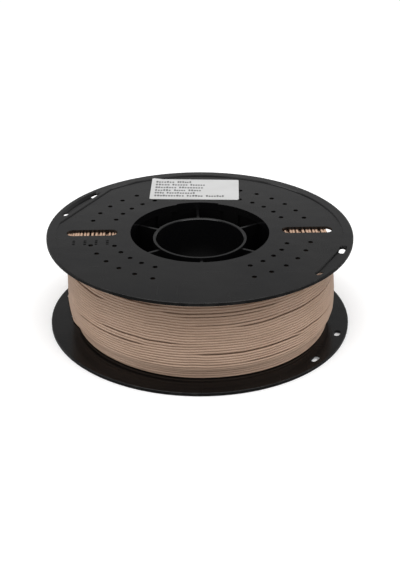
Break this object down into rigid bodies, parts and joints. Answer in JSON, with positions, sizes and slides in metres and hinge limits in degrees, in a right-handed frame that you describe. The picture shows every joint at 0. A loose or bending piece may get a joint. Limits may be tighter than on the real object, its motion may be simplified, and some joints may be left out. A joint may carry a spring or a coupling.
{
  "type": "filament spool",
  "caption": "Filament spool: slotted side plates with rim holes, snapped on a ribbed hub with a central bore, full of tan filament whose free end is tucked in the rim, with a plain label.",
  "frame": {"origin": "centre of the lower rim face, on the surface that the spool lies on", "axes": "+Z along the spool's axis towards the labelled plate; -Y is the front, with the label at the back; +X to the right, near one of the sight slots"},
  "size_m": [0.2, 0.2, 0.0644],
  "materials": {
    "spool_plastic": "moulded, semi-gloss",
    "filament": "extruded, soft sheen",
    "label_paper": "coated paper sticker with rows of plain grey marks"
  },
  "bodies": {
    "root": {"upper_flange": "spool_plastic", "lower_flange": "spool_plastic", "hub_core": "spool_plastic", "filament_winding": "filament", "filament_tail": "filament", "label": "label_paper"}
  },
  "joints": []
}
